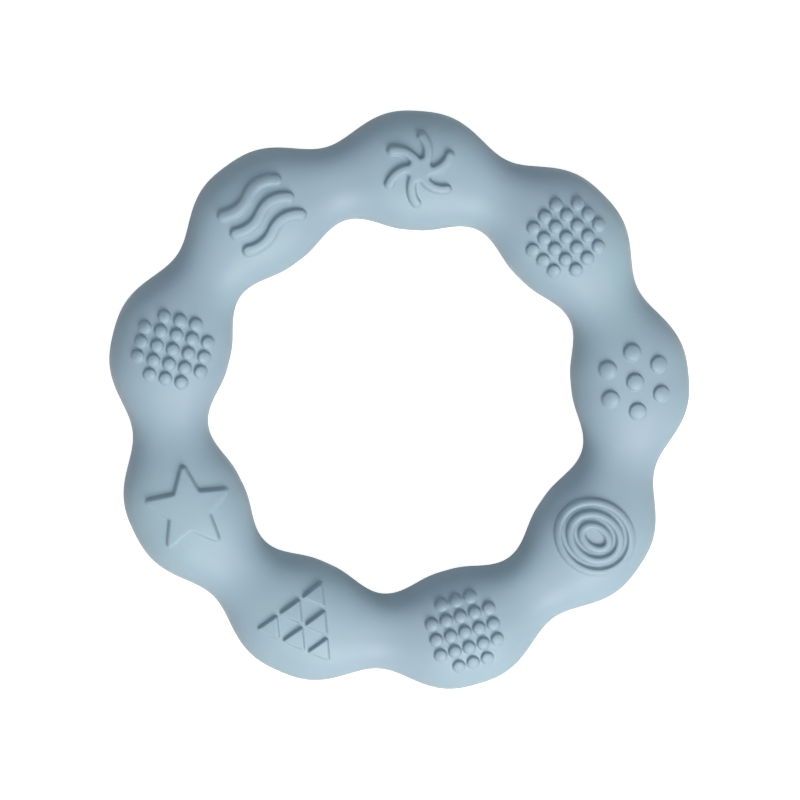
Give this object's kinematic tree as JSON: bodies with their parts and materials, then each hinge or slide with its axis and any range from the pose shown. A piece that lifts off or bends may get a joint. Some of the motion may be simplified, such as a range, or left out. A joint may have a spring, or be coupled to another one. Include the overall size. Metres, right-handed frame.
{
  "type": "teething ring",
  "caption": "Soft moulded teething ring with a scalloped outline round a hand hole, each lobe carrying its own raised gum-rubbing pattern on the front face.",
  "frame": {"origin": "the ring's centre, on the mid plane of its section, where the two halves of its mould meet", "axes": "+Z square to the ring, out of the patterned face; +Y from the centre through the middle of the pinwheel's lobe; the other patterns follow clockwise, seen from +Z"},
  "size_m": [0.1092, 0.108, 0.0179],
  "materials": {
    "silicone": "matte"
  },
  "bodies": {
    "root": {"ring_body": "silicone", "pinwheel_relief": "silicone", "dot_grid_relief_1": "silicone", "seven_dot_relief": "silicone", "oval_ring_relief": "silicone", "dot_grid_relief_2": "silicone", "triangle_relief": "silicone", "star_relief": "silicone", "dot_grid_relief_3": "silicone", "wave_relief": "silicone"}
  },
  "joints": []
}
